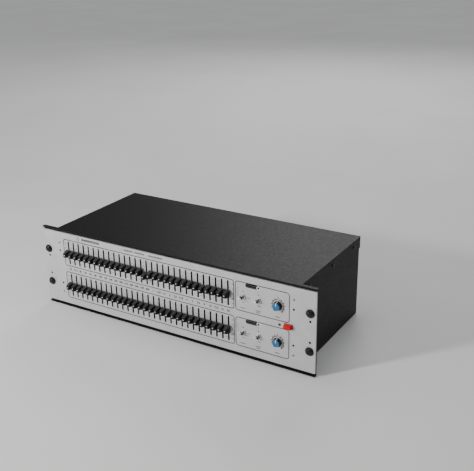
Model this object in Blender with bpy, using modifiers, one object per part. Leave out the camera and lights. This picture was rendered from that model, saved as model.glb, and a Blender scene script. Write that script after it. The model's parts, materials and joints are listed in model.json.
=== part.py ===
"""Rack-mount dual thirty-band graphic equalizer, three units high.

Front faces -Y, the viewer's right is +X, up is +Z. Lengths below are in
millimetres and are turned into metres by M where a mesh is made.
"""
import math

import bmesh
import bpy
from mathutils import Matrix, Vector

M = 0.001

# front panel
PANEL_W = 482.6
PANEL_H = 132.5
FASCIA_T = 2.5
FASCIA_INSET = 4.8
GAP = 0.3
EAR_HOLE_X = 8.75
EAR_HOLE_Y = (37.7, 94.85)
EAR_HOLE_W = 10.3
EAR_HOLE_H = 6.8

# chassis shell
PLATE_T = 2.0
LIP_H = 1.9
LIP_OUT = 0.6
SHEET = 1.5
BODY_HALF_W = 215.0
BODY_DEPTH = 205.0
BODY_BOTTOM = 0.0
WALL_TOP = 129.4
COVER_T = 1.2
COVER_FLANGE = 18.0

# faders
BANDS = ("25", "31", "40", "50", "63", "80", "100", "125", "160", "200",
         "250", "315", "400", "500", "630", "800", "1k", "1k25", "1k6", "2k",
         "2k5", "3k15", "4k", "5k", "6k3", "8k", "10k", "12k5", "16k", "20k")
FIRST_SLOT = 51.3
PITCH = 10.16
ROW_Y = (37.3, 93.2)
SLOT_W = 2.0
SLOT_L = 38.1
CAP_BACK = 1.95
CAP_FRONT = 11.8
CAP_BACK_W = 7.8
CAP_BACK_H = 11.6
CAP_FRONT_W = 5.6
CAP_FRONT_H = 5.9
BLADE_T = 1.2
BLADE_W = 4.0
BLADE_IN = 9.0
BAR_D0 = 3.2
BAR_D1 = 4.6
BAR_H = 3.0
LOWERED = {"800": 3.8, "8k": 1.7}

# slide pots and boards
POT_FRONT = 6.0
POT_BACK = 13.0
POT_W = 9.0
POT_L = 45.0
GROOVE_W = 2.6
GROOVE_L = 38.6
GROOVE_IN = 10.5
PCB_T = 1.6

# right-hand controls
TOGGLE_X = (370.0, 395.0)
KNOB_X = 425.3
CONTROL_Y = (37.7, 93.6)
LED_X = 394.9
LED_Y = (19.0, 74.8)
POWER_LED = (427.9, 65.9)
POWER_AT = (441.7, 65.2)
POWER_W = 12.8
POWER_H = 6.3
POWER_OUT = 6.0
TOGGLE_SWING = math.radians(14.0)
PIVOT_IN = -1.5
BUSH_OUT = 4.5

# rear panel
XLR_X = (71.3, 106.3, 141.3, 176.3)
XLR_Y = 66.5
XLR_R = 11.8
INLET_AT = (421.3, 66.5)
REAR_REACH = 207.8

FRONT_Y = -(REAR_REACH - CAP_FRONT) / 2.0

MATERIALS = {
    "silver_fascia": ((0.66, 0.66, 0.67), 0.38, 0.55),
    "black_steel": ((0.030, 0.030, 0.033), 0.50, 0.60),
    "cap_plastic": ((0.035, 0.036, 0.040), 0.50, 0.0),
    "knob_blue": ((0.06, 0.22, 0.42), 0.38, 0.0),
    "chrome": ((0.72, 0.72, 0.74), 0.14, 1.0),
    "button_red": ((0.72, 0.03, 0.02), 0.30, 0.0),
    "board_green": ((0.03, 0.16, 0.08), 0.50, 0.0),
    "winding": ((0.50, 0.36, 0.05), 0.45, 0.0),
    "inlet_black": ((0.02, 0.02, 0.02), 0.45, 0.0),
    "socket_metal": ((0.30, 0.30, 0.31), 0.35, 0.9),
    "screw_black": ((0.015, 0.015, 0.016), 0.25, 0.5),
}


def px(x):
    """World x of a distance from the panel's left edge."""
    return x - PANEL_W / 2.0


def pz(y):
    """World z of a distance down from the panel's top edge."""
    return PANEL_H - y


def clear_scene():
    for item in list(bpy.data.objects):
        bpy.data.objects.remove(item, do_unlink=True)


def make_collection(name, hidden=False):
    group = bpy.data.collections.new(name)
    bpy.context.scene.collection.children.link(group)
    group.hide_render = hidden
    return group


def material(name):
    found = bpy.data.materials.get(name)
    if found:
        return found
    colour, rough, metal = MATERIALS[name]
    made = bpy.data.materials.new(name)
    made.use_nodes = True
    shader = made.node_tree.nodes["Principled BSDF"]
    shader.inputs["Base Color"].default_value = (*colour, 1.0)
    shader.inputs["Roughness"].default_value = rough
    shader.inputs["Metallic"].default_value = metal
    return made


class Shape:
    """A mesh drawn about its own origin (x, depth, z in panel terms)."""

    def __init__(self, at=(0.0, 0.0, 0.0)):
        self.at = Vector(at)
        self.bm = bmesh.new()

    def _place(self, verts, centre, size=None):
        local = Vector(centre) - self.at
        for v in verts:
            if size:
                v.co = Vector(v.co[i] * size[i] for i in range(3))
            v.co = (v.co + local) * M

    def box(self, x, d, z):
        verts = bmesh.ops.create_cube(self.bm, size=1.0)["verts"]
        lo = (x[0], d[0], z[0])
        hi = (x[1], d[1], z[1])
        centre = [(lo[i] + hi[i]) / 2.0 for i in range(3)]
        size = [hi[i] - lo[i] for i in range(3)]
        self._place(verts, centre, size)
        return self

    def cone(self, x, z, d, r0, r1, segments=24, turn=0.0):
        """A cone along the depth axis, radius r0 at d[0] and r1 at d[1]."""
        spin = Matrix.Rotation(-math.pi / 2.0, 4, "X") @ Matrix.Rotation(turn, 4, "Z")
        verts = bmesh.ops.create_cone(
            self.bm, cap_ends=True, cap_tris=False, segments=segments,
            radius1=r0, radius2=r1, depth=d[1] - d[0], matrix=spin)["verts"]
        self._place(verts, (x, (d[0] + d[1]) / 2.0, z))
        return self

    def post(self, x, d, z, r, segments=16):
        """A cylinder standing up along z."""
        verts = bmesh.ops.create_cone(
            self.bm, cap_ends=True, cap_tris=False, segments=segments,
            radius1=r, radius2=r, depth=z[1] - z[0])["verts"]
        self._place(verts, (x, d, (z[0] + z[1]) / 2.0))
        return self

    def prism(self, outline, d):
        """A flat outline of (x, z) points carried from depth d[0] to d[1]."""
        near = [self.bm.verts.new((Vector((a, d[0], b)) - self.at) * M) for a, b in outline]
        far = [self.bm.verts.new((Vector((a, d[1], b)) - self.at) * M) for a, b in outline]
        count = len(outline)
        self.bm.faces.new(near)
        self.bm.faces.new(list(reversed(far)))
        for i in range(count):
            j = (i + 1) % count
            self.bm.faces.new((near[j], near[i], far[i], far[j]))
        return self

    def turned(self, profile, x, z, axis="Y", segments=28):
        """A closed solid turned from (radius, height) points on the axis."""
        rings = []
        for radius, height in profile:
            ring = []
            steps = 1 if radius == 0.0 else segments
            for k in range(steps):
                a = 2.0 * math.pi * k / segments
                side = radius * math.cos(a)
                lift = radius * math.sin(a)
                if axis == "Y":
                    spot = Vector((x + side, height, z + lift))
                else:
                    spot = Vector((x + side, z + lift, height))
                ring.append(self.bm.verts.new((spot - self.at) * M))
            rings.append(ring)
        for low, high in zip(rings, rings[1:]):
            for k in range(segments):
                n = (k + 1) % segments
                if len(low) == 1:
                    self.bm.faces.new((low[0], high[k], high[n]))
                elif len(high) == 1:
                    self.bm.faces.new((low[n], low[k], high[0]))
                else:
                    self.bm.faces.new((low[n], low[k], high[k], high[n]))
        return self

    def finish(self, name, group, slot=None, smooth=False):
        bmesh.ops.recalc_face_normals(self.bm, faces=self.bm.faces[:])
        mesh = bpy.data.meshes.new(name)
        self.bm.to_mesh(mesh)
        self.bm.free()
        made = bpy.data.objects.new(name, mesh)
        group.objects.link(made)
        made.location = Vector((self.at.x, self.at.y + FRONT_Y, self.at.z)) * M
        if slot:
            mesh.materials.append(material(slot))
        if smooth:
            mesh.polygons.foreach_set("use_smooth", [True] * len(mesh.polygons))
            mesh.set_sharp_from_angle(angle=math.radians(35.0))
        return made


def combine(target, tool, operation):
    tool.hide_render = True
    tool.display_type = "WIRE"
    step = target.modifiers.new(tool.name, "BOOLEAN")
    step.operation = operation
    step.solver = "EXACT"
    step.object = tool


def bevel(target, width, segments=1):
    step = target.modifiers.new("edge", "BEVEL")
    step.width = width * M
    step.segments = segments
    step.limit_method = "ANGLE"
    step.angle_limit = math.radians(40.0)


def slot_outline(x, z, width, length, steps=6, upright=True):
    """A rounded-end slot as (x, z) points."""
    r = width / 2.0
    reach = length / 2.0 - r
    pts = []
    for end in (1, -1):
        for k in range(steps + 1):
            a = math.pi * k / steps + (0.0 if end > 0 else math.pi)
            across = r * math.cos(a)
            along = r * math.sin(a) + end * reach
            pts.append((x + across, z + along) if upright else (x + along, z - across))
    return pts


def hex_outline(x, z, flats):
    r = flats / math.sqrt(3.0)
    return [(x + r * math.cos(math.pi * k / 3.0), z + r * math.sin(math.pi * k / 3.0))
            for k in range(6)]


def slot_x(index):
    return px(FIRST_SLOT + PITCH * index)


def ear_points():
    return [(px(x), pz(y)) for x in (EAR_HOLE_X, PANEL_W - EAR_HOLE_X) for y in EAR_HOLE_Y]


def ear_cutter(tools, name, depth):
    shape = Shape()
    for x, z in ear_points():
        shape.prism(slot_outline(x, z, EAR_HOLE_H, EAR_HOLE_W, 4, False), depth)
    return shape.finish(name, tools)


def build_fascia(parts, tools):
    half = PANEL_W / 2.0
    plate = Shape().box((-half, half), (0.0, FASCIA_T),
                        (FASCIA_INSET, PANEL_H - FASCIA_INSET))
    fascia = plate.finish("front_fascia", parts, "silver_fascia")
    through = (-2.0, FASCIA_T + 2.0)
    cuts = Shape()
    for row in ROW_Y:
        for index in range(len(BANDS)):
            cuts.prism(slot_outline(slot_x(index), pz(row), SLOT_W, SLOT_L), through)
    for y in CONTROL_Y:
        for x in TOGGLE_X:
            cuts.cone(px(x), pz(y), through, 3.4, 3.4, 20)
        cuts.cone(px(KNOB_X), pz(y), through, 3.9, 3.9, 20)
    for y in LED_Y:
        cuts.cone(px(LED_X), pz(y), through, 1.8, 1.8, 12)
    cuts.cone(px(POWER_LED[0]), pz(POWER_LED[1]), through, 1.8, 1.8, 12)
    cuts.box((px(POWER_AT[0]) - POWER_W / 2.0 - 0.4, px(POWER_AT[0]) + POWER_W / 2.0 + 0.4),
             through,
             (pz(POWER_AT[1]) - POWER_H / 2.0 - 0.4, pz(POWER_AT[1]) + POWER_H / 2.0 + 0.4))
    combine(fascia, cuts.finish("cut_fascia", tools), "DIFFERENCE")
    combine(fascia, ear_cutter(tools, "cut_fascia_ears", through), "DIFFERENCE")


def build_chassis(parts, tools):
    half = PANEL_W / 2.0
    front = FASCIA_T + GAP
    back = front + PLATE_T
    plate = Shape().box((-half, half), (front, back), (0.0, PANEL_H))
    chassis = plate.finish("chassis", parts, "black_steel")
    lips = Shape()
    for z in ((0.0, LIP_H), (PANEL_H - LIP_H, PANEL_H)):
        lips.box((-half, half), (-LIP_OUT, back - 0.5), z)
    combine(chassis, lips.finish("add_lips", tools), "UNION")
    shell = Shape().box((-BODY_HALF_W, BODY_HALF_W), (front + 0.5, BODY_DEPTH),
                        (BODY_BOTTOM, WALL_TOP))
    combine(chassis, shell.finish("add_shell", tools), "UNION")
    inner = Shape().box((-BODY_HALF_W + SHEET, BODY_HALF_W - SHEET),
                        (back, BODY_DEPTH - SHEET),
                        (BODY_BOTTOM + SHEET, WALL_TOP + 1.5))
    combine(chassis, inner.finish("cut_inside", tools), "DIFFERENCE")
    window = Shape()
    window.box((px(38.0), px(445.0)), (0.0, back + 1.0), (pz(120.5), pz(12.0)))
    combine(chassis, window.finish("cut_window", tools), "DIFFERENCE")
    notch = Shape()
    notch.box((px(440.0), px(451.0)), (0.0, back + 1.0), (pz(73.0), pz(58.0)))
    combine(chassis, notch.finish("cut_notch", tools), "DIFFERENCE")
    rear = Shape()
    for x in XLR_X:
        rear.cone(px(x), pz(XLR_Y), (BODY_DEPTH - 4.0, BODY_DEPTH + 2.0),
                  XLR_R + 0.4, XLR_R + 0.4, 24)
    rear.box((px(INLET_AT[0]) - 14.1, px(INLET_AT[0]) + 14.1),
             (BODY_DEPTH - 4.0, BODY_DEPTH + 2.0),
             (pz(INLET_AT[1]) - 10.4, pz(INLET_AT[1]) + 10.4))
    combine(chassis, rear.finish("cut_rear", tools), "DIFFERENCE")
    combine(chassis, ear_cutter(tools, "cut_chassis_ears", (0.0, back + 2.0)), "DIFFERENCE")


def build_cover(parts, tools):
    inner = BODY_HALF_W + GAP
    outer = inner + COVER_T
    start = FASCIA_T + GAP + PLATE_T + GAP
    low = WALL_TOP + GAP
    block = Shape().box((-outer, outer), (start, BODY_DEPTH),
                        (low - COVER_FLANGE, low + COVER_T))
    cover = block.finish("top_cover", parts, "black_steel")
    hollow = Shape().box((-inner, inner), (start - 2.0, BODY_DEPTH + 2.0),
                         (low - COVER_FLANGE - 2.0, low))
    combine(cover, hollow.finish("cut_cover", tools), "DIFFERENCE")


def build_fader(name, parts, tools, row, indices, drop):
    """One fader, or a bank of them joined by a bar behind the fascia."""
    middle = indices[len(indices) // 2]
    z = pz(ROW_Y[row] + drop)
    at = (slot_x(middle), -CAP_BACK, z)
    caps = Shape(at)
    for index in indices:
        x = slot_x(index)
        corners = []
        for depth, wide, high in ((-CAP_BACK, CAP_BACK_W, CAP_BACK_H),
                                  (-CAP_FRONT, CAP_FRONT_W, CAP_FRONT_H)):
            corners.append([caps.bm.verts.new(
                (Vector((x + sx * wide / 2.0, depth, z + sz * high / 2.0)) - caps.at) * M)
                for sx, sz in ((-1, -1), (1, -1), (1, 1), (-1, 1))])
        back, front = corners
        caps.bm.faces.new(front)
        caps.bm.faces.new(list(reversed(back)))
        for k in range(4):
            n = (k + 1) % 4
            caps.bm.faces.new((front[n], front[k], back[k], back[n]))
    fader = caps.finish(name, parts, "cap_plastic")
    bevel(fader, 0.6)
    blades = Shape(at)
    for index in indices:
        x = slot_x(index)
        blades.box((x - BLADE_T / 2.0, x + BLADE_T / 2.0), (-CAP_BACK - 2.0, BLADE_IN),
                   (z - BLADE_W / 2.0, z + BLADE_W / 2.0))
    combine(fader, blades.finish("add_blade_" + name, tools), "UNION")
    if len(indices) > 1:
        bar = Shape(at).box((slot_x(indices[0]) - 1.0, slot_x(indices[-1]) + 1.0),
                            (BAR_D0, BAR_D1), (z - BAR_H / 2.0, z + BAR_H / 2.0))
        combine(fader, bar.finish("add_bar_" + name, tools), "UNION")


def build_fader_board(parts, tools):
    board = Shape().box((px(43.0), px(355.0)), (POT_BACK, POT_BACK + PCB_T),
                        (pz(118.5), pz(12.5)))
    made = board.finish("fader_board", parts, "board_green")
    pots = Shape()
    grooves = Shape()
    for row in ROW_Y:
        z = pz(row)
        for index in range(len(BANDS)):
            x = slot_x(index)
            pots.box((x - POT_W / 2.0, x + POT_W / 2.0), (POT_FRONT, POT_BACK + 0.5),
                     (z - POT_L / 2.0, z + POT_L / 2.0))
            grooves.box((x - GROOVE_W / 2.0, x + GROOVE_W / 2.0),
                        (POT_FRONT - 1.0, GROOVE_IN),
                        (z - GROOVE_L / 2.0, z + GROOVE_L / 2.0))
    combine(made, pots.finish("add_slide_pots", tools), "UNION")
    combine(made, grooves.finish("cut_grooves", tools), "DIFFERENCE")


def build_control_board(parts, tools):
    board = Shape().box((px(359.0), px(450.5)), (POT_BACK, POT_BACK + PCB_T),
                        (pz(118.5), pz(12.5)))
    made = board.finish("control_board", parts, "board_green")
    deep = POT_BACK + 0.5
    bodies = Shape()
    necks = Shape()
    nuts = Shape()
    bores = Shape()
    for y in CONTROL_Y:
        z = pz(y)
        for x in (px(v) for v in TOGGLE_X):
            bodies.box((x - 3.5, x + 3.5), (4.6, deep), (z - 6.6, z + 6.6))
            necks.cone(x, z, (-BUSH_OUT, 5.2), 3.0, 3.0, 20)
            nuts.prism(hex_outline(x, z, 8.0), (-GAP - 2.0, -GAP))
            bores.cone(x, z, (-BUSH_OUT - 1.0, 2.5), 2.2, 2.2, 16)
        bodies.cone(px(KNOB_X), z, (5.0, deep), 8.0, 8.0, 28)
        necks.cone(px(KNOB_X), z, (-1.2, 5.6), 3.5, 3.5, 20)
        bores.cone(px(KNOB_X), z, (-2.2, 9.0), 2.3, 2.3, 16)
    for x, y in [(LED_X, v) for v in LED_Y] + [POWER_LED]:
        bodies.turned([(0.0, -0.9), (0.9, -0.7), (1.5, 0.0), (1.5, deep), (0.0, deep)],
                      px(x), pz(y), "Y", 12)
    sx = px(POWER_AT[0])
    sz = pz(POWER_AT[1])
    bodies.box((sx - 6.4, sx + 7.0), (5.0, 30.0), (sz - 3.6, sz + 3.6))
    bores.box((sx - 2.5, sx + 2.5), (4.0, 20.0), (sz - 2.5, sz + 2.5))
    combine(made, bodies.finish("add_bodies", tools), "UNION")
    combine(made, necks.finish("add_bushings", tools), "UNION")
    combine(made, nuts.finish("add_nuts", tools), "UNION")
    combine(made, bores.finish("cut_bores", tools), "DIFFERENCE")


def build_knob(name, parts, y):
    x = px(KNOB_X)
    z = pz(y)
    profile = [(0.0, -6.9), (4.5, -6.9), (5.2, -6.4), (5.6, -3.1), (6.75, -2.5),
               (6.75, -0.6), (4.2, -0.6), (4.2, -2.2), (2.0, -2.2), (2.0, 8.0), (0.0, 8.0)]
    shape = Shape((x, -0.6, z))
    shape.turned(profile, x, z, "Y", 28)
    shape.finish(name, parts, "knob_blue", True)


def build_toggle(name, parts, x, y, raised):
    z = pz(y)
    at = (px(x), PIVOT_IN, z)
    profile = [(0.0, PIVOT_IN + 1.9), (1.3, PIVOT_IN + 1.4), (1.9, PIVOT_IN),
               (1.3, PIVOT_IN - 1.4), (0.95, PIVOT_IN - 2.2), (1.0, PIVOT_IN - 3.5),
               (1.45, PIVOT_IN - 8.4), (1.3, PIVOT_IN - 9.4), (0.7, PIVOT_IN - 9.9),
               (0.0, PIVOT_IN - 10.0)]
    shape = Shape(at)
    shape.turned(profile, at[0], z, "Y", 14)
    lever = shape.finish(name, parts, "chrome", True)
    lever.rotation_euler = (-TOGGLE_SWING if raised else 0.0, 0.0, 0.0)


def build_power_button(parts, tools):
    x = px(POWER_AT[0])
    z = pz(POWER_AT[1])
    at = (x, -POWER_OUT, z)
    cap = Shape(at).box((x - POWER_W / 2.0, x + POWER_W / 2.0), (-POWER_OUT, 1.0),
                        (z - POWER_H / 2.0, z + POWER_H / 2.0))
    button = cap.finish("power_button", parts, "button_red")
    bevel(button, 1.0, 2)
    stem = Shape(at).box((x - 2.0, x + 2.0), (0.0, 14.0), (z - 2.0, z + 2.0))
    combine(button, stem.finish("add_stem", tools), "UNION")


def build_main_board(parts, tools):
    top = 9.6
    board = Shape().box((-150.0, 70.0), (45.0, 175.0), (8.0, top))
    made = board.finish("main_board", parts, "board_green")
    extras = Shape()
    for x in (-142.0, 62.0):
        for d in (53.0, 167.0):
            extras.post(x, d, (BODY_BOTTOM + SHEET + GAP, 8.5), 3.0, 12)
    for k in range(5):
        extras.post(-20.0 + 17.0 * k, 150.0, (top - 0.5, top + 25.0), 6.5, 16)
        extras.box((-130.0 + 20.0 * k, -118.0 + 20.0 * k), (80.0, 100.0),
                   (top - 0.5, top + 4.0))
    extras.box((0.0, 60.0), (70.0, 82.0), (top - 0.5, top + 30.0))
    combine(made, extras.finish("add_components", tools), "UNION")


def build_transformer(parts):
    base = BODY_BOTTOM + SHEET + GAP
    profile = [(0.0, base), (37.0, base), (40.0, base + 4.0), (40.0, base + 28.0),
               (37.0, base + 32.0), (20.0, base + 32.0), (16.0, base + 28.0),
               (6.0, base + 28.0), (6.0, base + 33.0), (0.0, base + 33.0)]
    shape = Shape((150.0, 95.0, base))
    shape.turned(profile, 150.0, 95.0, "Z", 32)
    shape.finish("power_transformer", parts, "winding", True)


def build_inlet(parts, tools):
    x = px(INLET_AT[0])
    z = pz(INLET_AT[1])
    out = BODY_DEPTH + GAP
    at = (x, out, z)
    flange = Shape(at).prism(slot_outline(x, z, 24.0, 50.0, 6, False), (out, REAR_REACH))
    inlet = flange.finish("mains_inlet", parts, "inlet_black")
    body = Shape(at).box((x - 13.7, x + 13.7), (186.0, REAR_REACH - 0.5), (z - 10.0, z + 10.0))
    combine(inlet, body.finish("add_inlet_body", tools), "UNION")
    outline = [(x - 12.0, z - 8.1), (x + 12.0, z - 8.1), (x + 12.0, z + 4.0),
               (x + 8.0, z + 8.1), (x - 8.0, z + 8.1), (x - 12.0, z + 4.0)]
    well = Shape(at).prism(outline, (191.0, REAR_REACH + 1.0))
    combine(inlet, well.finish("cut_inlet_well", tools), "DIFFERENCE")
    pins = Shape(at)
    for dx, dz in ((-7.0, -2.0), (0.0, 2.0), (7.0, -2.0)):
        pins.box((x + dx - 1.0, x + dx + 1.0), (190.0, 204.0), (z + dz - 2.0, z + dz + 2.0))
    combine(inlet, pins.finish("add_inlet_pins", tools), "UNION")


def build_connectors(parts, tools):
    out = BODY_DEPTH + GAP
    z = pz(XLR_Y)
    at = (px(XLR_X[0]), out, z)
    board = Shape(at).box((px(XLR_X[0]) - 18.0, px(XLR_X[-1]) + 18.0), (184.0, 185.6),
                          (z - 22.0, z + 22.0))
    made = board.finish("audio_connectors", parts, "socket_metal")
    shells = Shape(at)
    flanges = Shape(at)
    wells = Shape(at)
    inserts = Shape(at)
    for number, x in enumerate(px(v) for v in XLR_X):
        shells.cone(x, z, (185.0, out + 1.0), XLR_R, XLR_R, 24)
        flanges.box((x - 13.0, x + 13.0), (out, out + 1.8), (z - 15.5, z + 15.5))
        wells.cone(x, z, (192.0, out + 3.0), 9.7, 9.7, 24)
        if number % 2:
            for k in range(3):
                a = math.radians(90.0 + 120.0 * k)
                inserts.cone(x + 5.0 * math.cos(a), z + 5.0 * math.sin(a),
                             (191.0, 204.0), 1.2, 1.2, 10)
        else:
            inserts.cone(x, z, (191.0, 200.5), 8.0, 8.0, 24)
    combine(made, shells.finish("add_shells", tools), "UNION")
    combine(made, flanges.finish("add_flanges", tools), "UNION")
    combine(made, wells.finish("cut_wells", tools), "DIFFERENCE")
    combine(made, inserts.finish("add_inserts", tools), "UNION")


def build_rack_screws(parts):
    names = ("top_left", "bottom_left", "top_right", "bottom_right")
    for name, (x, z) in zip(names, ear_points()):
        profile = [(0.0, -4.3), (2.4, -4.1), (4.4, -3.3), (5.6, -2.0), (6.0, -GAP),
                   (2.8, -GAP), (2.8, 14.0), (0.0, 14.0)]
        shape = Shape((x, -GAP, z))
        shape.turned(profile, x, z, "Y", 20)
        shape.finish("rack_screw_" + name, parts, "screw_black", True)


def main():
    clear_scene()
    parts = make_collection("graphic_equalizer")
    tools = make_collection("working_shapes", True)
    build_fascia(parts, tools)
    build_chassis(parts, tools)
    build_cover(parts, tools)
    build_fader_board(parts, tools)
    build_control_board(parts, tools)
    build_main_board(parts, tools)
    build_transformer(parts)
    build_inlet(parts, tools)
    build_connectors(parts, tools)
    build_rack_screws(parts)
    for channel, y in enumerate(CONTROL_Y, start=1):
        build_knob(f"gain_knob_{channel}", parts, y)
        build_toggle(f"filter_toggle_{channel}", parts, TOGGLE_X[0], y, channel == 2)
        build_toggle(f"eq_toggle_{channel}", parts, TOGGLE_X[1], y, True)
    build_power_button(parts, tools)
    for index, band in enumerate(BANDS):
        build_fader(f"fader_1_{band}", parts, tools, 0, [index], LOWERED.get(band, 0.0))
    for start in range(0, len(BANDS), 3):
        triple = [start, start + 1, start + 2]
        name = f"faders_2_{BANDS[triple[0]]}_{BANDS[triple[-1]]}"
        build_fader(name, parts, tools, 1, triple, 0.0)


main()
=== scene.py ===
"""Looks of the rack-mount graphic equalizer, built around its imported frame.

Panel places are millimetres from the panel's left edge (x), down from its top
edge (y) and out from the fascia's face towards the viewer (out).
"""
import json
import math

import bmesh
import bpy
from mathutils import Matrix, Vector


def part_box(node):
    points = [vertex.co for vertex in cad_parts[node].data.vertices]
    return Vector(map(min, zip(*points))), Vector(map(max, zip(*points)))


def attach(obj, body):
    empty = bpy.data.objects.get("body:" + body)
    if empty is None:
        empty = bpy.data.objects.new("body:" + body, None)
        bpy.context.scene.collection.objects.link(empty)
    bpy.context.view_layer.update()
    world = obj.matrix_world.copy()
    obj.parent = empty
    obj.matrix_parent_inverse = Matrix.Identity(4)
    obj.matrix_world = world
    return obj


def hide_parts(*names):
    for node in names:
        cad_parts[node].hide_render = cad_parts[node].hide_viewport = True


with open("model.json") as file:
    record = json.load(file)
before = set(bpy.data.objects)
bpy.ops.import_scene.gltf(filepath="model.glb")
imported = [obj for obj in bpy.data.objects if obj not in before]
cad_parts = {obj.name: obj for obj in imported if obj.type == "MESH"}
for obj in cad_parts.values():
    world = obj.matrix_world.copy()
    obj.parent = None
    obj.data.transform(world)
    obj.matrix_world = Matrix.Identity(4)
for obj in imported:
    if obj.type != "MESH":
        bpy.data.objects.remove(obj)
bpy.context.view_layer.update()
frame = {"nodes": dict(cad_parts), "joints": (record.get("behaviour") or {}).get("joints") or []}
ROOT = "equalizer"
MM = 0.001
LEFT, FRONT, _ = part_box("front_fascia")[0]
_, REAR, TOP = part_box("chassis")[1]
PITCH = 10.16
BANDS = ("25", "31.5", "40", "50", "63", "80", "100", "125", "160", "200",
         "250", "315", "400", "500", "630", "800", "1", "1.25", "1.6", "2",
         "2.5", "3.15", "4", "5", "6.3", "8", "10", "12.5", "16", "20")
FIRST_SLOT = 51.3
ROWS = (37.3, 93.2)
CONTROLS = (37.7, 93.6)
TOGGLES = (370.0, 395.0)
KNOB = 425.3
LABELS = (19.0, 74.8)
LABEL_LAMP = 394.9
POWER = (441.7, 65.2)
FADER_BOX = (40.6, 355.9)
CONTROL_BOX = (357.5, 443.1)
BOX_ROWS = ((14.9, 60.4), (70.6, 116.8))
# Height of the printing above the fascia, and how deep it is let in.
INK = 0.03
SUNK = -0.01
# The control circuit board: how far out its front and back are, its middle and size.
BOARD = (-13.0, -14.6)
BOARD_PLACE = (404.75, 65.5)
BOARD_SIZE = (91.5, 106.0)
# Height of the font's digits in its own size, and how much they are thickened.
DIGIT_HEIGHT = 0.69
DIGIT_WEIGHT = 0.055


def spot(x, y, out=0.0):
    """A panel place in the frame's own metres."""
    return Vector((LEFT + x * MM, FRONT - out * MM, TOP - y * MM))


# ---------------------------------------------------------------- materials

def blend_ramp(tree, source, low, high, start=0.35, stop=0.65):
    ramp = tree.nodes.new("ShaderNodeValToRGB")
    ramp.color_ramp.elements[0].position = start
    ramp.color_ramp.elements[0].color = (*low, 1.0)
    ramp.color_ramp.elements[1].position = stop
    ramp.color_ramp.elements[1].color = (*high, 1.0)
    tree.links.new(source, ramp.inputs["Fac"])
    return ramp.outputs["Color"]


def noise(tree, where, scale, detail=4.0, roughness=0.55):
    made = tree.nodes.new("ShaderNodeTexNoise")
    made.inputs["Scale"].default_value = scale
    made.inputs["Detail"].default_value = detail
    made.inputs["Roughness"].default_value = roughness
    tree.links.new(where, made.inputs["Vector"])
    return made.outputs["Fac"]


def spread(tree, source, low, high, start=0.3, stop=0.7):
    made = tree.nodes.new("ShaderNodeMapRange")
    made.inputs["From Min"].default_value = start
    made.inputs["From Max"].default_value = stop
    made.inputs["To Min"].default_value = low
    made.inputs["To Max"].default_value = high
    tree.links.new(source, made.inputs["Value"])
    return made.outputs["Result"]


def surface(name, low, high, rough, metal=0.0, mottle=120.0, grain=2500.0,
            relief=0.02, stretch=(1.0, 1.0, 1.0), wear=None, coat=0.0, shine=0.5):
    """Colour mottled between low and high, roughness uneven within rough, and a
    fine relief. mottle and grain are in bumps per metre and relief is in mm. wear
    is the colour that shows along edges."""
    made = bpy.data.materials.new(name)
    made.use_nodes = True
    tree = made.node_tree
    shader = tree.nodes["Principled BSDF"]
    shader.inputs["Metallic"].default_value = metal
    shader.inputs["Coat Weight"].default_value = coat
    shader.inputs["Coat Roughness"].default_value = 0.08
    shader.inputs["Specular IOR Level"].default_value = shine
    where = tree.nodes.new("ShaderNodeTexCoord").outputs["Object"]
    placed = tree.nodes.new("ShaderNodeMapping")
    placed.inputs["Scale"].default_value = stretch
    tree.links.new(where, placed.inputs["Vector"])
    colour = blend_ramp(tree, noise(tree, placed.outputs["Vector"], mottle), low, high)
    if wear:
        edge = tree.nodes.new("ShaderNodeNewGeometry").outputs["Pointiness"]
        mix = tree.nodes.new("ShaderNodeMix")
        mix.data_type = "RGBA"
        tree.links.new(spread(tree, edge, 0.0, 0.8, 0.53, 0.62), mix.inputs["Factor"])
        tree.links.new(colour, mix.inputs["A"])
        mix.inputs["B"].default_value = (*wear, 1.0)
        colour = mix.outputs["Result"]
    tree.links.new(colour, shader.inputs["Base Color"])
    blotch = noise(tree, where, mottle * 1.7 + 13.0, 6.0, 0.6)
    tree.links.new(spread(tree, blotch, *rough), shader.inputs["Roughness"])
    bump = tree.nodes.new("ShaderNodeBump")
    bump.inputs["Strength"].default_value = 0.6
    bump.inputs["Distance"].default_value = relief * MM
    tree.links.new(noise(tree, placed.outputs["Vector"], grain, 2.0), bump.inputs["Height"])
    tree.links.new(bump.outputs["Normal"], shader.inputs["Normal"])
    return made


SILVER = surface("silver_satin", (0.550, 0.540, 0.555), (0.590, 0.580, 0.595), (0.38, 0.52),
                 metal=0.35, mottle=60.0, grain=3200.0, relief=0.012)
BLACK = surface("black_powder", (0.0050, 0.0050, 0.0054), (0.0080, 0.0080, 0.0086), (0.40, 0.54),
                mottle=160.0, grain=1300.0, relief=0.09, shine=0.15)
PLASTIC = surface("cap_charcoal", (0.006, 0.006, 0.0068), (0.011, 0.011, 0.0125), (0.48, 0.62),
                  mottle=900.0, grain=2400.0, relief=0.06, wear=(0.024, 0.024, 0.026), shine=0.12)
# A lighter copy of the cap plastic for the caps' upper and lower faces and side ribs: partly a grip
# finish, partly painted light that brightens the tops as if lit from above.
LIT_GRIP = surface("cap_grip_and_painted_top_light", (0.020, 0.020, 0.0215), (0.034, 0.034, 0.036), (0.56, 0.70),
               mottle=900.0, grain=2400.0, relief=0.06, wear=(0.050, 0.050, 0.052), shine=0.2)
WHITE = surface("marking_white", (0.82, 0.82, 0.80), (0.90, 0.90, 0.88), (0.40, 0.55),
                mottle=600.0)
BLUE = surface("knob_blue_satin", (0.012, 0.115, 0.27), (0.020, 0.150, 0.33), (0.26, 0.38),
               mottle=500.0, grain=2600.0, wear=(0.08, 0.26, 0.44))
NAVY = surface("knob_dark_satin", (0.006, 0.009, 0.016), (0.010, 0.014, 0.024), (0.34, 0.48),
               mottle=500.0, grain=2600.0, relief=0.03, wear=(0.03, 0.045, 0.06), shine=0.2)
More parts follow.
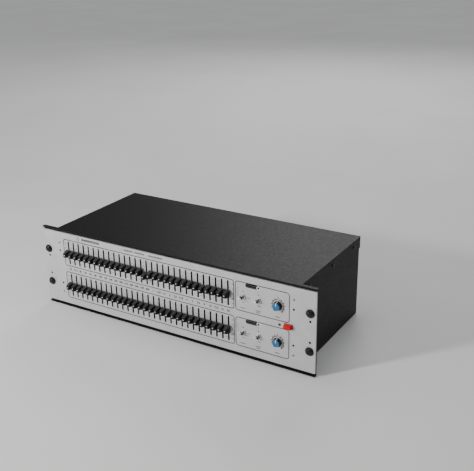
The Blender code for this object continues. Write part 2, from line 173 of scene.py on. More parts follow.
CHROME = surface("chrome_plate", (0.82, 0.82, 0.83), (0.90, 0.90, 0.91), (0.14, 0.24), metal=1.0,
                 mottle=300.0, grain=1200.0, relief=0.004)
NICKEL = surface("nickel_satin", (0.50, 0.49, 0.47), (0.62, 0.61, 0.59), (0.20, 0.34), metal=1.0,
                 mottle=260.0, grain=2200.0, relief=0.01, wear=(0.76, 0.75, 0.72))
RED = surface("button_red_gloss", (0.52, 0.0007, 0.0036), (0.62, 0.0011, 0.0052), (0.20, 0.30),
              mottle=300.0, grain=900.0, relief=0.012, coat=0.08, shine=0.16)
# Grey for printing, and for painted shade in the rings round the slots.
GREY_INK_AND_SHADE = surface("grey_ink_and_painted_shade", (0.016, 0.016, 0.018), (0.028, 0.028, 0.030), (0.50, 0.66),
                   mottle=900.0, grain=3000.0, relief=0.008, shine=0.10)
INK_PALE = surface("ink_pale_grey", (0.11, 0.11, 0.115), (0.16, 0.16, 0.165), (0.50, 0.66),
                   mottle=900.0, grain=3000.0, relief=0.008)
# Near-black for dark parts and for painted shade: the walls of the fascia's openings and the
# crosses on the rack screws.
BLACK_PARTS_AND_SHADE = surface("black_parts_and_painted_shade", (0.004, 0.004, 0.0046), (0.008, 0.008, 0.009), (0.62, 0.76),
                     mottle=700.0, grain=2400.0, shine=0.05)
# Black for printing and dark parts, and for painted shade in the crosses on the small screws.
BLACK_INK_AND_SHADE = surface("black_ink_and_painted_shade", (0.006, 0.006, 0.0066), (0.012, 0.012, 0.013), (0.44, 0.58),
                    mottle=700.0, grain=3000.0, relief=0.008, shine=0.06)
INK_RED = surface("ink_brown_red", (0.13, 0.022, 0.016), (0.19, 0.034, 0.026), (0.50, 0.64),
                  mottle=700.0, grain=3000.0, relief=0.008, shine=0.10)
GREEN = surface("solder_mask", (0.008, 0.075, 0.035), (0.014, 0.12, 0.06), (0.25, 0.40),
                mottle=450.0, grain=700.0, relief=0.03)
STEEL = surface("plated_steel", (0.20, 0.20, 0.20), (0.32, 0.31, 0.29), (0.30, 0.46), metal=1.0,
                mottle=200.0, grain=1500.0, relief=0.01)
SCREW = surface("screw_black_gloss", (0.005, 0.005, 0.0055), (0.010, 0.010, 0.011), (0.16, 0.26),
                mottle=500.0, grain=1500.0, relief=0.01, wear=(0.04, 0.04, 0.04), coat=0.22,
                shine=0.22)
COPPER = surface("winding_tape", (0.42, 0.28, 0.03), (0.58, 0.40, 0.06), (0.30, 0.46),
                 mottle=150.0, grain=500.0, relief=0.15, stretch=(1.0, 1.0, 6.0))
LENS = surface("lamp_lens_dark", (0.010, 0.003, 0.003), (0.018, 0.005, 0.005), (0.06, 0.12),
               mottle=700.0, grain=1200.0, relief=0.01, coat=0.6)
GOLD = surface("contact_gold", (0.62, 0.42, 0.14), (0.74, 0.52, 0.20), (0.14, 0.26), metal=1.0,
               mottle=500.0, grain=2000.0, relief=0.006)
DARK_STEEL = surface("fader_lever_steel", (0.030, 0.030, 0.032), (0.06, 0.06, 0.062), (0.34, 0.50),
                     metal=0.6, mottle=400.0, grain=1800.0, relief=0.01)


# ------------------------------------------------------------------ shapes

def rounded(width, height, radius, steps=4):
    """A rounded rectangle about the origin, anticlockwise from its right side."""
    pts = []
    for k, (sx, sz) in enumerate(((1, 1), (-1, 1), (-1, -1), (1, -1))):
        for n in range(steps + 1):
            a = math.pi / 2.0 * (k + n / max(steps, 1))
            pts.append((sx * (width / 2.0 - radius) + radius * math.cos(a),
                        sz * (height / 2.0 - radius) + radius * math.sin(a)))
    return pts


def circle(radius, count, flute=0.0, lobes=0):
    pts = []
    for k in range(count):
        a = 2.0 * math.pi * k / count
        r = radius + flute * math.cos(lobes * a)
        pts.append((r * math.cos(a), r * math.sin(a)))
    return pts


class Build:
    """Solids gathered in one mesh. Flat outlines are (across, up) in mm about a
    centre, and are carried outwards from the panel."""

    def __init__(self):
        self.bm = bmesh.new()
        self.slots = []

    def slot(self, material):
        if material not in self.slots:
            self.slots.append(material)
        return self.slots.index(material)

    def loft(self, centre, sections, material, closed=False):
        """Skin through (outline, out) sections, capped at both ends or, where it is
        closed, joined from the last section back to the first."""
        index = self.slot(material)
        rings = []
        for outline, out in sections:
            rings.append([self.bm.verts.new(centre + Vector((a, -out, b)) * MM)
                          for a, b in outline])
        pairs = list(zip(rings, rings[1:]))
        faces = []
        if closed:
            pairs.append((rings[-1], rings[0]))
        else:
            faces.append(self.bm.faces.new(rings[0]))
            faces.append(self.bm.faces.new(list(reversed(rings[-1]))))
        count = len(rings[0])
        for low, high in pairs:
            for k in range(count):
                n = (k + 1) % count
                faces.append(self.bm.faces.new((low[n], low[k], high[k], high[n])))
        for face in faces:
            face.material_index = index
        return [v for ring in rings for v in ring]

    def box(self, centre, size, out, material):
        return self.loft(centre, [(rounded(size[0], size[1], 0.0, 0), out[0]),
                                  (rounded(size[0], size[1], 0.0, 0), out[1])], material)

    def lathe(self, centre, profile, material, count=32, closed=False):
        return self.loft(centre, [(circle(r, count), out) for r, out in profile],
                         material, closed)

    def frame(self, centre, width, height, radius, line, material):
        """A printed outline with rounded corners."""
        outer = rounded(width, height, radius, 6)
        inner = rounded(width - 2.0 * line, height - 2.0 * line, radius - line, 6)
        self.loft(centre, [(outer, SUNK), (outer, INK), (inner, INK), (inner, SUNK)],
                  material, True)

    def mark(self, x, y, width, height, material):
        """A small printed bar."""
        self.box(spot(x, y), (width, height), (SUNK, INK), material)

    def arc(self, centre, radius, line, start, stop, material, count=24):
        """A printed arc, angles in degrees clockwise from the top."""
        outer = []
        inner = []
        for k in range(count + 1):
            a = math.radians(start + (stop - start) * k / count)
            outer.append((math.sin(a) * (radius + line / 2.0), math.cos(a) * (radius + line / 2.0)))
            inner.append((math.sin(a) * (radius - line / 2.0), math.cos(a) * (radius - line / 2.0)))
        index = self.slot(material)
        levels = []
        for out in (SUNK, INK):
            levels.append([[self.bm.verts.new(centre + Vector((a, -out, b)) * MM)
                            for a, b in side] for side in (outer, inner)])
        (lo_out, lo_in), (hi_out, hi_in) = levels
        faces = []
        for k in range(count):
            faces.append((hi_out[k], hi_out[k + 1], hi_in[k + 1], hi_in[k]))
            faces.append((lo_out[k + 1], lo_out[k], lo_in[k], lo_in[k + 1]))
            faces.append((lo_out[k], lo_out[k + 1], hi_out[k + 1], hi_out[k]))
            faces.append((lo_in[k + 1], lo_in[k], hi_in[k], hi_in[k + 1]))
        faces.append((lo_out[0], hi_out[0], hi_in[0], lo_in[0]))
        faces.append((hi_out[-1], lo_out[-1], lo_in[-1], hi_in[-1]))
        for corners in faces:
            self.bm.faces.new(corners).material_index = index

    def dashes(self, x, y, width, height, count, material):
        """A printed row of short bars where the real panel has a worded label."""
        step = width / count
        for k in range(count):
            self.mark(x - width / 2.0 + step * (k + 0.5), y, step * 0.72, height, material)

    def digits(self, text, x, y, height, material):
        """Printed numbers, centred on a panel place."""
        index = self.slot(material)
        curve = bpy.data.curves.new("digits", "FONT")
        curve.body = text
        curve.size = height * MM / DIGIT_HEIGHT
        curve.align_x = "CENTER"
        curve.align_y = "CENTER"
        curve.extrude = INK * MM
        curve.offset = height * DIGIT_WEIGHT * MM
        curve.resolution_u = 3
        holder = bpy.data.objects.new("digits", curve)
        bpy.context.scene.collection.objects.link(holder)
        bpy.context.view_layer.update()
        shaped = holder.evaluated_get(bpy.context.evaluated_depsgraph_get())
        mesh = bpy.data.meshes.new_from_object(shaped)
        mesh.transform(Matrix.Translation(spot(x, y)) @ Matrix.Rotation(math.pi / 2.0, 4, "X"))
        before = len(self.bm.faces)
        self.bm.from_mesh(mesh)
        self.bm.faces.ensure_lookup_table()
        for face in self.bm.faces[before:]:
            face.material_index = index
        bpy.data.objects.remove(holder)
        bpy.data.meshes.remove(mesh)
        bpy.data.curves.remove(curve)

    def turn(self, verts, pivot, angle, axis):
        bmesh.ops.rotate(self.bm, verts=verts, cent=pivot,
                         matrix=Matrix.Rotation(angle, 3, axis))

    def finish(self, name, body, nodes=(), sharp=35.0):
        """Makes the piece, smooth up to the sharp angle, and puts it on its body."""
        bmesh.ops.recalc_face_normals(self.bm, faces=self.bm.faces[:])
        mesh = bpy.data.meshes.new(name)
        self.bm.to_mesh(mesh)
        self.bm.free()
        for material in self.slots:
            mesh.materials.append(material)
        mesh.polygons.foreach_set("use_smooth", [True] * len(mesh.polygons))
        mesh.set_sharp_from_angle(angle=math.radians(sharp))
        made = bpy.data.objects.new(name, mesh)
        bpy.context.scene.collection.objects.link(made)
        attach(made, body)
        if nodes:
            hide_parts(*nodes)


def round_edges(item, width):
    step = item.modifiers.new("rounded_edges", "BEVEL")
    step.width = width * MM
    step.segments = 2
    step.limit_method = "ANGLE"
    step.angle_limit = math.radians(40.0)


def paint(node, base, *regions):
    """Gives a frame node its materials, by where its faces lie (in mm)."""
    mesh = frame["nodes"][node].data
    mesh.materials.clear()
    mesh.materials.append(base)
    for material, _ in regions:
        mesh.materials.append(material)
    for face in mesh.polygons:
        face.material_index = 0
        for k, (_, inside) in enumerate(regions, start=1):
            if inside(face.center * 1000.0, face.normal):
                face.material_index = k


# ------------------------------------------------------------------ faders

# A fader cap: width and height of its skirt and of its face, how far out they stand,
# and how much lower the face sits.
CAP_SKIRT = (7.8, 11.6)
CAP_FACE = (5.3, 7.4)
CAP_OUT = (1.95, 11.6)
CAP_DROP = 0.4


def cap_size(share):
    """Width, height and distance out of a cap, from its skirt (0) to its face (1)."""
    wide, high = (a + (b - a) * share for a, b in zip(CAP_SKIRT, CAP_FACE))
    return wide, high, CAP_OUT[0] + (CAP_OUT[1] - CAP_OUT[0]) * share


def cap_sections():
    """Sections of one fader cap, whose long sides are slightly hollow."""
    skirt, face = CAP_OUT
    wide, high = CAP_SKIRT
    out = [(rounded(wide - 0.4, high - 0.4, 0.5, 3), skirt, 0.0),
           (rounded(wide, high, 0.6, 3), skirt + 0.25, 0.0)]
    for share, hollow in ((0.10, 0.0), (0.22, 0.12), (0.38, 0.22), (0.55, 0.26), (0.72, 0.20),
                          (0.86, 0.10), (0.94, 0.0)):
        wide, high, reach = cap_size(share)
        out.append((rounded(wide, high - hollow, 0.6, 3), reach, share))
    wide, high = CAP_FACE
    out.append((rounded(wide - 0.15, high - 0.2, 0.7, 3), face - 0.2, 1.0))
    out.append((rounded(wide - 0.7, high - 0.7, 0.6, 3), face, 1.0))
    return [([(a, b - CAP_DROP * share) for a, b in outline], reach)
            for outline, reach, share in out]


def add_fader(build, x, z):
    """One cap with ribbed long sides, its white dot and the lever behind it."""
    centre = Vector((x, FRONT, z))
    before = len(build.bm.faces)
    build.loft(centre, cap_sections(), PLASTIC)
    build.bm.faces.ensure_lookup_table()
    # Faces turned up or down take the lighter grip material: painted light on the caps' tops.
    for face in build.bm.faces[before:]:
        face.normal_update()
        if abs(face.normal.z) > 0.8:
            face.material_index = build.slot(LIT_GRIP)
    for side in (-1, 1):
        for n in range(4):
            share = 0.24 + 0.17 * n
            wide, high, reach = cap_size(share)
            lift = side * (high / 2.0 - 0.12) - CAP_DROP * share
            build.box(centre + Vector((0.0, 0.0, lift * MM)), (wide - 1.5, 0.44),
                      (reach - 0.22, reach + 0.22), LIT_GRIP)
    dot = rounded(1.7, 1.15, 0.5, 3)
    middle = centre + Vector((0.0, 0.0, -0.3 * MM))
    build.loft(middle, [(dot, CAP_OUT[1] - 0.2), (dot, CAP_OUT[1] + 0.06)], WHITE)
    build.box(centre, (1.2, 4.0), (-9.0, 2.2), DARK_STEEL)


def make_faders():
    for node in sorted(frame["nodes"]):
        if not node.startswith(("fader_1_", "faders_2_")):
            continue
        lo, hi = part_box(node)
        x = (lo.x + hi.x) / 2.0
        z = (lo.z + hi.z) / 2.0
        build = Build()
        places = (0.0,) if node.startswith("fader_1_") else (-PITCH * MM, 0.0, PITCH * MM)
        for shift in places:
            add_fader(build, x + shift, z)
        if len(places) > 1:
            # The bar behind the fascia that joins a bank of three.
            build.box(Vector((x, FRONT, z)), (2.0 * PITCH + 2.0, 3.0), (-4.6, -3.2), DARK_STEEL)
        build.finish("cap_" + node, node, (node,))


# ---------------------------------------------------------------- controls

def make_knobs():
    for node in ("gain_knob_1", "gain_knob_2"):
        lo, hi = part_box(node)
        centre = Vector(((lo.x + hi.x) / 2.0, FRONT, (lo.z + hi.z) / 2.0))
        build = Build()
        wall = ((6.2, 0.0, 0.6), (6.7, 0.0, 0.8), (6.75, 0.0, 1.9), (6.5, 0.0, 2.3),
                (5.75, 0.0, 2.55), (5.62, 0.15, 3.0), (5.35, 0.16, 5.7), (5.15, 0.06, 6.1),
                (4.9, 0.0, 6.2))
        build.loft(centre, [(circle(r, 96, flute, 16), out) for r, flute, out in wall], NAVY)
        face = ((5.3, 5.7), (5.45, 5.85), (5.45, 6.4), (5.25, 6.75), (4.85, 6.9), (4.4, 6.83),
                (3.7, 6.72))
        build.loft(centre, [(circle(r, 64), out) for r, out in face], BLUE)
        line = rounded(0.95, 4.0, 0.3, 3)
        build.loft(centre + Vector((0.0, 0.0, 3.3 * MM)), [(line, 6.6), (line, 6.98)], WHITE)
        build.box(centre + Vector((0.0, 0.0, 5.15 * MM)), (0.95, 1.05), (2.4, 6.6), WHITE)
        build.box(centre + Vector((0.0, 0.0, 6.15 * MM)), (0.95, 1.3), (2.1, 2.6), WHITE)
        build.lathe(centre, [(2.0, -8.0), (2.0, 0.8)], STEEL, 20)
        build.finish("knob_" + node, node, (node,))


# A toggle whose tip stands higher than this above its pivot (m) points up.
RAISED_TIP = 0.0025
TOGGLE_TILT = -14.0


def make_toggles():
    pivots = {j["child"]: Vector(j["pos_m"]) for j in frame["joints"] if "toggle" in j["child"]}
    profile = ((0.7, -1.9), (1.4, -1.4), (1.85, -0.5), (1.85, 0.5), (1.4, 1.4), (1.05, 1.9),
               (0.95, 2.6), (0.98, 3.6), (1.10, 5.0), (1.28, 6.6), (1.42, 7.8), (1.47, 8.7),
               (1.40, 9.3), (1.18, 9.7), (0.80, 9.93), (0.30, 10.0))
    for node, pivot in sorted(pivots.items()):
        build = Build()
        verts = build.lathe(pivot, profile, CHROME, 28)
        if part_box(node)[1].z - pivot.z > RAISED_TIP:
            build.turn(verts, pivot, math.radians(TOGGLE_TILT), "X")
        build.finish("lever_" + node, node, (node,), 50.0)


# Lamps: x, y, outer radius of the ring, and its material.
LAMPS = ((LABEL_LAMP, LABELS[0], 2.9, WHITE), (LABEL_LAMP, LABELS[1], 2.9, WHITE),
         (427.9, 65.9, 2.1, BLACK_PARTS_AND_SHADE))


def seat_toggle(build, board, centre):
    """A toggle's washer, nut and threaded bushing, and its body behind the fascia."""
    washer = [(4.95, 0.05), (4.95, 0.42), (4.8, 0.55), (3.1, 0.55), (3.1, 0.05)]
    build.lathe(centre, washer, SILVER, 40, True)
    nut = [(circle(4.25, 6), 0.55), (circle(4.62, 6), 0.85), (circle(4.62, 6), 2.0),
           (circle(4.25, 6), 2.3), (circle(2.9, 6), 2.3), (circle(2.9, 6), 0.55)]
    build.loft(centre, nut, NICKEL, True)
    thread = [(2.2, -4.6), (3.0, -4.6)]
    for n in range(9):
        thread.append((3.0, 2.2 + 0.25 * n))
        thread.append((2.82, 2.325 + 0.25 * n))
    thread += [(2.7, 4.5), (2.2, 4.5)]
    build.lathe(centre, thread, STEEL, 32, True)
    board.box(centre, (7.0, 13.2), (-13.5, -4.6), DARK_STEEL)


def seat_knob(build, board, centre):
    """A knob's bushing, and the rotary potentiometer behind the fascia."""
    build.lathe(centre, [(2.3, -5.2), (3.5, -5.2), (3.5, 0.4), (3.3, 0.6), (2.3, 0.6)],
                NICKEL, 32, True)
    board.lathe(centre, [(7.4, -13.5), (8.0, -13.1), (8.0, -5.6), (7.4, -5.0)], STEEL, 40)


def add_lamp(build, centre, edge, material):
    ring = [(1.75, -0.2), (edge, 0.0), (edge, 0.2), (edge - 0.2, 0.4), (1.85, 0.4), (1.75, 0.2)]
    build.lathe(centre, ring, material, 32, True)
    build.lathe(centre, [(1.6, -13.5), (1.6, 0.2), (1.45, 0.6), (1.0, 0.88), (0.4, 0.98)],
                LENS, 24)


def add_power_switch(board, centre):
    """The switch body behind the circuit board and its guide in front, which has a
    well for the button's stem."""
    rim = rounded(12.8, 7.2, 0.5, 2)
    well = rounded(5.0, 5.0, 0.5, 2)
    board.loft(centre, [(rim, -30.0), (rim, BOARD[1])], BLACK_INK_AND_SHADE)
    board.loft(centre, [(rim, BOARD[0]), (rim, -5.0), (well, -5.0), (well, BOARD[0])],
               BLACK_INK_AND_SHADE, True)


def make_hardware():
    build = Build()
    board = Build()
    for y in CONTROLS:
        for x in TOGGLES:
            seat_toggle(build, board, spot(x, y))
        seat_knob(build, board, spot(KNOB, y))
    for x, y, edge, material in LAMPS:
        add_lamp(build, spot(x, y), edge, material)
    board.box(spot(*BOARD_PLACE), BOARD_SIZE, (BOARD[1], BOARD[0]), GREEN)
    add_power_switch(board, spot(*POWER))
    build.finish("control_hardware", ROOT, ("control_board",))
    board.finish("control_circuit", ROOT, ("control_board",))


def make_power_button():
    lo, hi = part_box("power_button")
    centre = Vector(((lo.x + hi.x) / 2.0, FRONT, (lo.z + hi.z) / 2.0))
    build = Build()
    sections = [(rounded(12.6, 6.1, 2.1, 6), -1.0), (rounded(12.8, 6.3, 2.2, 6), -0.8),
                (rounded(12.8, 6.3, 2.2, 6), 3.6), (rounded(12.6, 6.1, 2.3, 6), 4.5),
                (rounded(12.0, 5.6, 2.3, 6), 5.2), (rounded(11.0, 4.8, 2.1, 6), 5.7),
                (rounded(9.8, 3.8, 1.8, 6), 5.95), (rounded(8.0, 2.4, 1.1, 6), 6.05)]
    build.loft(centre, sections, RED)
    build.box(centre, (4.0, 4.0), (-9.7, -0.9), BLACK_INK_AND_SHADE)
    build.finish("cap_power_button", "power_button", ("power_button",), 50.0)


# ------------------------------------------------------------------ screws

def cross_recess_shade(build, centre, size, top, material):
    """A dark cross at the top of a head, from 0.05 mm below it to 0.02 mm above: painted shade in
    place of a cross recess.
    """
    arm = size * 0.28
    for wide, high in ((size, arm), (arm, size)):
        build.loft(centre, [(rounded(wide, high, 0.0, 0), top - 0.05),
                            (rounded(wide, high, 0.0, 0), top + 0.02)], material)


def add_screw(build, centre, radius, height, material):
    profile = [(radius, 0.02), (radius, height * 0.3), (radius * 0.92, height * 0.7),
               (radius * 0.7, height * 0.95), (radius * 0.45, height)]
    build.lathe(centre, profile, material, 24)
    # A flat dark cross: painted shade for the screw's recess.
    cross_recess_shade(build, centre, radius * 0.85, height, BLACK_INK_AND_SHADE)


# Columns of four small screws: x, then y from the top. The outer two are plain steel.
FASCIA_SCREWS = ((32.4, (23.3, 36.2, 92.9, 108.0)), (449.4, (23.2, 37.9, 92.6, 108.3)))
EAR_DOTS = ((9.3, 49.4), (9.3, 80.2), (474.2, 49.8), (474.2, 81.5))


def make_screws():
    small = Build()
    for x, places in FASCIA_SCREWS:
        for k, y in enumerate(places):
            add_screw(small, spot(x, y), 1.6, 0.5, STEEL if k in (0, 3) else SCREW)
    for x, y in EAR_DOTS:
        small.lathe(spot(x, y), [(1.7, 0.0), (1.7, 0.15), (1.35, 0.3)], BLACK_PARTS_AND_SHADE, 24)
    small.finish("fascia_screws", ROOT)
    for node in sorted(frame["nodes"]):
        if not node.startswith("rack_screw_"):
            continue
        lo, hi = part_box(node)
        centre = Vector(((lo.x + hi.x) / 2.0, FRONT, (lo.z + hi.z) / 2.0))
        build = Build()
        build.lathe(centre, [(6.1, 0.3), (6.4, 0.5), (6.4, 1.0), (6.15, 1.4), (5.5, 1.55),
                             (5.5, 0.3)], PLASTIC, 48, True)
        build.lathe(centre, [(5.7, 0.35), (5.75, 1.6), (5.45, 2.4), (4.8, 3.3), (3.8, 4.05),
                             (2.6, 4.5), (1.2, 4.7), (0.5, 4.72)], SCREW, 48)
        # A flat near-black cross: painted shade for the screw's recess.
        cross_recess_shade(build, centre, 3.2, 4.66, BLACK_PARTS_AND_SHADE)
        build.lathe(centre, [(2.8, -14.0), (2.8, 0.5)], STEEL, 20)
        build.finish("head_" + node, ROOT, (node,))


# ----------------------------------------------------------------- printing

BOX_LINE = 1.15
BOX_CORNER = 4.6
THIN = 0.45
# The scale beside the slots: how far its marks and numbers stand below the middle.
SCALE_MARKS = (-14.9, -9.95, -4.95, 0.0, 4.95, 9.95, 14.9)
SCALE_NUMBERS = (("12", -14.9), ("6", -7.5), ("0", 0.0), ("6", 7.5), ("12", 14.9))
SCALE_COLUMNS = (44.0, 353.2)
BAND_LINE = 65.3
TITLE_LINE = 9.4
TITLE_WORDS = ((171.0, 16.0, 6), (192.0, 18.0, 7), (221.0, 26.0, 10))
# Where the upper group has its words: x, y, width and number of bars.
WORDS = ((370.0, 29.6, 3.0, 2), (361.9, 36.9, 2.6, 2), (379.4, 37.8, 4.4, 3),
         (370.4, 45.9, 3.4, 2), (395.0, 29.6, 2.6, 2), (395.9, 45.9, 5.2, 3),
         (369.4, 55.2, 8.6, 6), (394.4, 54.0, 8.4, 6), (394.4, 56.6, 6.0, 4),
         (424.5, 55.4, 7.4, 5))
# The knob's dial runs this many degrees to each side of the top, red after RED_FROM.
DIAL_END = 140.0
DIAL_STOPS = 11
RED_FROM = 60.0


def print_boxes(ink):
    for y0, y1 in BOX_ROWS:
        for x0, x1 in (FADER_BOX, CONTROL_BOX):
            ink.frame(spot((x0 + x1) / 2.0, (y0 + y1) / 2.0), x1 - x0, y1 - y0, BOX_CORNER,
                      BOX_LINE, BLACK_INK_AND_SHADE)


def print_scales(ink):
    """Dark grey rings round the slots as painted shade that widens each slot's dark
    opening, and the marks and numbers between and beside them.
    """
    outer = rounded(2.9, 39.0, 1.44, 5)
    inner = rounded(1.86, 37.96, 0.92, 5)
    # Each ring is painted shade round a slot's opening.
    for row in ROWS:
        for k in range(len(BANDS)):
            ink.loft(spot(FIRST_SLOT + PITCH * k, row),
                     [(outer, 0.0), (outer, INK), (inner, INK), (inner, 0.0)],
                     GREY_INK_AND_SHADE, True)
        for k in range(len(BANDS) + 1):
            x = FIRST_SLOT + PITCH * (k - 0.5)
            for n, step in enumerate(SCALE_MARKS):
                if 0 < k < len(BANDS):
                    ink.mark(x, row + step, 5.2 if n in (0, 3, 6) else 3.6, THIN, INK_PALE)
                else:
                    ink.mark(x + (1.6 if k == 0 else -1.6), row + step, 2.0, THIN, INK_PALE)
        for x in SCALE_COLUMNS:
            for text, step in SCALE_NUMBERS:
                ink.digits(text, x, row + step, 1.8, GREY_INK_AND_SHADE)
    for k, text in enumerate(BANDS):
        ink.digits(text, FIRST_SLOT + PITCH * k, BAND_LINE, 3.1, BLACK_INK_AND_SHADE)


def print_dial(ink, knob):
    ink.arc(knob, 8.8, 1.0, -DIAL_END, -8.0, BLACK_INK_AND_SHADE)
    ink.arc(knob, 8.8, 1.0, 8.0, RED_FROM, BLACK_INK_AND_SHADE)
    ink.arc(knob, 8.8, 1.0, RED_FROM, DIAL_END, INK_RED)
    for k in range(DIAL_STOPS):
        a = math.radians(DIAL_END * (2.0 * k / (DIAL_STOPS - 1) - 1.0))
        at = knob + Vector((math.sin(a), 0.0, math.cos(a))) * 10.0 * MM
        shade = INK_RED if a > math.radians(RED_FROM) else BLACK_INK_AND_SHADE
        verts = ink.box(at, (1.1, 2.0), (SUNK, INK), shade)
        ink.turn(verts, at, a, "Y")
    for side, shade in ((-1.0, GREY_INK_AND_SHADE), (1.0, INK_RED)):
        a = math.radians(DIAL_END + 6.0) * side
        at = knob + Vector((math.sin(a), 0.0, math.cos(a))) * 10.6 * MM
        ink.lathe(at, [(0.95, SUNK), (0.95, INK)], shade, 16)


def print_group(ink, row, top):
    """The label, words, switch bracket and dial of one control group."""
    pill = rounded(20.0, 5.9, 2.9, 8)
    ink.loft(spot(384.0, top), [(pill, SUNK), (pill, 0.05)], BLACK_INK_AND_SHADE)
    outer = rounded(15.6, 3.0, 1.45, 8)
    inner = rounded(14.9, 2.3, 1.1, 8)
    ink.loft(spot(383.4, top), [(outer, 0.04), (outer, 0.09), (inner, 0.09), (inner, 0.04)],
             INK_PALE, True)
    for k in range(2):
        ink.mark(LABEL_LAMP - 0.9 * k, top + 5.0 + 2.2 * k, 0.9, 0.9, GREY_INK_AND_SHADE)
    for x, y, wide, count in WORDS:
        ink.dashes(x, y + row - CONTROLS[0], wide, 1.3, count, GREY_INK_AND_SHADE)
    ink.mark(361.2, row - 8.6, THIN, 8.0, INK_PALE)
    ink.mark(362.0, row - 12.4, 1.6, THIN, INK_PALE)
    ink.mark(362.0, row - 4.8, 1.6, THIN, INK_PALE)
    print_dial(ink, spot(KNOB, row))
    ink.digits("0", KNOB, row - 12.3, 1.7, GREY_INK_AND_SHADE)


def make_printing():
    ink = Build()
    print_boxes(ink)
    print_scales(ink)
    for row, top in zip(CONTROLS, LABELS):
        print_group(ink, row, top)
    outer = circle(2.7, 32)
    inner = circle(1.9, 32)
    ink.loft(spot(72.0, TITLE_LINE),
             [(outer, SUNK), (outer, INK), (inner, INK), (inner, SUNK)], BLACK_INK_AND_SHADE, True)
    ink.dashes(97.0, TITLE_LINE, 36.0, 3.6, 9, BLACK_INK_AND_SHADE)
    for x, wide, count in TITLE_WORDS:
        ink.dashes(x, TITLE_LINE + 0.2, wide, 2.2, count, GREY_INK_AND_SHADE)
    ink.finish("panel_printing", ROOT)


# --------------------------------------------------- shell, rear and inside
# Painted regions and named places in this section are mm in the frame's own axes.

def make_shell():
    """Paints the walls of the fascia's openings near-black as painted shade, but not
    its own edges, and adds the screws at the cover's sides."""
    # The openings' walls take the near-black: painted shade.
    paint("front_fascia", SILVER,
          (BLACK_PARTS_AND_SHADE, lambda p, n: abs(n.y) < 0.5 and -200.0 < p.x < 210.0
           and 10.0 < p.z < 122.0))
    round_edges(frame["nodes"]["front_fascia"], 0.25)
    paint("chassis", BLACK)
    round_edges(frame["nodes"]["chassis"], 0.35)
    paint("top_cover", BLACK)
    round_edges(frame["nodes"]["top_cover"], 0.5)
    screws = Build()
    lo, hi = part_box("top_cover")
    for share in (0.12, 0.50, 0.88):
        depth = lo.y + (hi.y - lo.y) * share
        for side in (-1.0, 1.0):
            verts = screw_at_origin(screws, 2.9, 1.5)
            turn = Matrix.Rotation(math.pi / 2.0 * side, 4, "Z")
            place = Matrix.Translation((side * hi.x, depth, lo.z + 9.0 * MM))
            bmesh.ops.transform(screws.bm, matrix=place @ turn, verts=verts)
    screws.finish("cover_screws", ROOT)


def screw_at_origin(build, radius, height):
    """A pan-head screw whose head points to -Y from the origin."""
    before = set(build.bm.verts)
    add_screw(build, Vector((0.0, 0.0, 0.0)), radius, height, SCREW)
    return [v for v in build.bm.verts if v not in before]


# The audio sockets: the first one's distance from their board's edge, their spacing,
# and the radii of the ring of pins, of the insert and of the well round it.
SOCKET_EDGE = 18.0
SOCKET_PITCH = 35.0
SOCKET_PINS = 5.0
SOCKET_INSERT = 8.4
SOCKET_WELL = 9.6
AUDIO_BOARD_BACK = 87.7
# The mains inlet's middle, and its three blades from there.
INLET = (180.0, 66.0)
BLADES = ((-7.0, -2.0), (0.0, 2.0), (7.0, -2.0))
SHELL_SCREWS = [(x, z) for x in (-200.0, -20.0, 130.0, 205.0) for z in (8.0, 122.0)]


def make_rear():
    """Paints the rear sockets by region and adds the screws."""
    lo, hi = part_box("audio_connectors")
    z = (lo.z + hi.z) / 2.0 * 1000.0
    centres = [lo.x * 1000.0 + SOCKET_EDGE + SOCKET_PITCH * k for k in range(4)]

    def reach(p):
        return min(math.hypot(p.x - c, p.z - z) for c in centres)

    def sunk(p):
        return reach(p) < SOCKET_INSERT and 93.0 < p.y < 106.5

    def pin(p):
        turns = [math.radians(90.0 + 120.0 * k) for k in range(3)]
        return 95.0 < p.y < 106.5 and any(
            math.hypot(p.x - c - SOCKET_PINS * math.cos(a),
                       p.z - z - SOCKET_PINS * math.sin(a)) < 1.3
            for c in centres[1::2] for a in turns)

    paint("audio_connectors", NICKEL,
          (GREEN, lambda p, n: p.y < AUDIO_BOARD_BACK),
          (PLASTIC, lambda p, n: sunk(p) or (reach(p) < SOCKET_WELL and p.y < 94.5)),
          (GOLD, lambda p, n: pin(p)))

    def blade(p):
        return 93.3 < p.y < 106.3 and any(
            abs(p.x - INLET[0] - dx) < 1.1 and abs(p.z - INLET[1] - dz) < 2.1
            for dx, dz in BLADES)

    paint("mains_inlet", PLASTIC, (CHROME, lambda p, n: blade(p)))
    build = Build()
    spots = [(c + sx * 9.6, z + sz * 12.6, 1.5, hi.y) for c in centres
             for sx, sz in ((-1, 1), (1, -1))]
    inlet_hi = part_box("mains_inlet")[1].y
    spots += [(INLET[0] + s * 20.0, INLET[1], 2.4, inlet_hi) for s in (-1, 1)]
    spots += [(x, up, 2.6, REAR) for x, up in SHELL_SCREWS]
    for x, up, radius, depth in spots:
        verts = screw_at_origin(build, radius, radius * 0.5)
        place = Matrix.Translation((x * MM, depth, up * MM)) @ Matrix.Rotation(math.pi, 4, "Z")
        bmesh.ops.transform(build.bm, matrix=place, verts=verts)
    build.finish("rear_screws", ROOT)


FADER_BODIES_BACK = -85.2
# Bottom and top of the main board.
MAIN_BOARD = (7.9, 10.2)
# The dished clamp in the transformer's middle: x, y, radius and where it starts in z.
CLAMP = (150.0, -3.0, 20.5, 29.0)


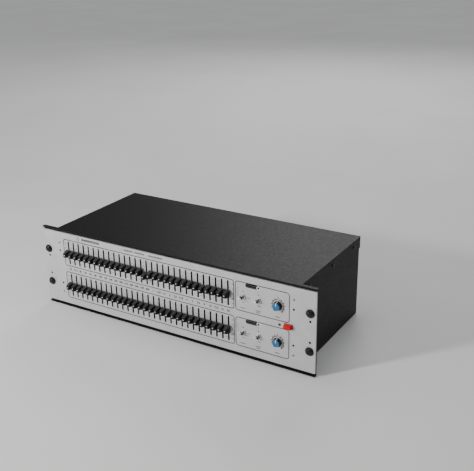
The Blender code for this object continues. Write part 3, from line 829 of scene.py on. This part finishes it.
def make_inside():
    """Paints the boards green, what they carry dark, the main board's spacers steel
    and the transformer yellow with a dark clamp."""
    x, y, radius, height = CLAMP
    paint("fader_board", BLACK_PARTS_AND_SHADE, (GREEN, lambda p, n: p.y > FADER_BODIES_BACK))
    paint("main_board", GREEN,
          (BLACK_INK_AND_SHADE, lambda p, n: p.z > MAIN_BOARD[1]),
          (STEEL, lambda p, n: p.z < MAIN_BOARD[0]))
    paint("power_transformer", COPPER,
          (BLACK_INK_AND_SHADE, lambda p, n: p.z > height and math.hypot(p.x - x, p.y - y) < radius))


# ------------------------------------------------------------ camera, light

# The camera: focal length in mm, place and aim in metres, roll in degrees.
FOCAL_LENGTH = 59.92
VIEW_PLACE = (0.63408, -0.9445, 0.57779)
VIEW_AIM = (0.12194, -0.1, 0.18562)
VIEW_ROLL = -0.832
FLOOR_HALF = 40.0
FLOOR_Z = -0.0006
# Name, place, what it points at, diameter, watts and colour.
LIGHTS = (("key", (-0.71, -1.27, 0.68), (0.0, -0.1, 0.06), 0.16, 21.5, (1.0, 0.98, 0.965)),
          ("fill", (2.0, -1.5, 0.9), (0.0, 0.0, 0.06), 1.2, 2.5, (0.95, 0.97, 1.0)),
          ("rear", (-0.6, 2.0, 1.5), (0.0, 0.0, 0.06), 1.2, 18.0, (1.0, 1.0, 1.0)))


def make_camera():
    data = bpy.data.cameras.new("view")
    data.lens = FOCAL_LENGTH
    data.sensor_width = 36.0
    camera = bpy.data.objects.new("view", data)
    bpy.context.scene.collection.objects.link(camera)
    aim = Vector(VIEW_AIM) - Vector(VIEW_PLACE)
    turn = aim.to_track_quat("-Z", "Y").to_matrix().to_4x4()
    roll = Matrix.Rotation(math.radians(VIEW_ROLL), 4, "Z")
    camera.matrix_world = Matrix.Translation(VIEW_PLACE) @ turn @ roll
    bpy.context.scene.camera = camera


def area_light(name, place, target, size, power, colour):
    data = bpy.data.lights.new(name, "AREA")
    data.shape = "DISK"
    data.size = size
    data.energy = power
    data.color = colour
    lamp = bpy.data.objects.new(name, data)
    bpy.context.scene.collection.objects.link(lamp)
    lamp.location = place
    aim = Vector(target) - Vector(place)
    lamp.rotation_euler = aim.to_track_quat("-Z", "Y").to_euler()


def make_stage():
    mesh = bpy.data.meshes.new("floor")
    corners = [(FLOOR_HALF * x, FLOOR_HALF * y, FLOOR_Z)
               for x, y in ((-1, -1), (1, -1), (1, 1), (-1, 1))]
    mesh.from_pydata(corners, [], [(0, 1, 2, 3)])
    floor = bpy.data.objects.new("floor", mesh)
    bpy.context.scene.collection.objects.link(floor)
    mesh.materials.append(surface("floor_pale", (0.70, 0.70, 0.70), (0.74, 0.74, 0.735),
                                  (0.75, 0.85), mottle=3.0, grain=400.0))
    world = bpy.data.worlds.new("studio")
    world.use_nodes = True
    sky = world.node_tree.nodes["Background"]
    sky.inputs["Color"].default_value = (0.95, 0.97, 1.0, 1.0)
    sky.inputs["Strength"].default_value = 0.18
    bpy.context.scene.world = world
    for values in LIGHTS:
        area_light(*values)
    data = bpy.data.lights.new("overhead", "SUN")
    data.energy = 1.05
    data.angle = 1.0
    bpy.context.scene.collection.objects.link(bpy.data.objects.new("overhead", data))


make_camera()
make_faders()
make_knobs()
make_toggles()
make_hardware()
make_power_button()
make_screws()
make_printing()
make_shell()
make_rear()
make_inside()
make_stage()
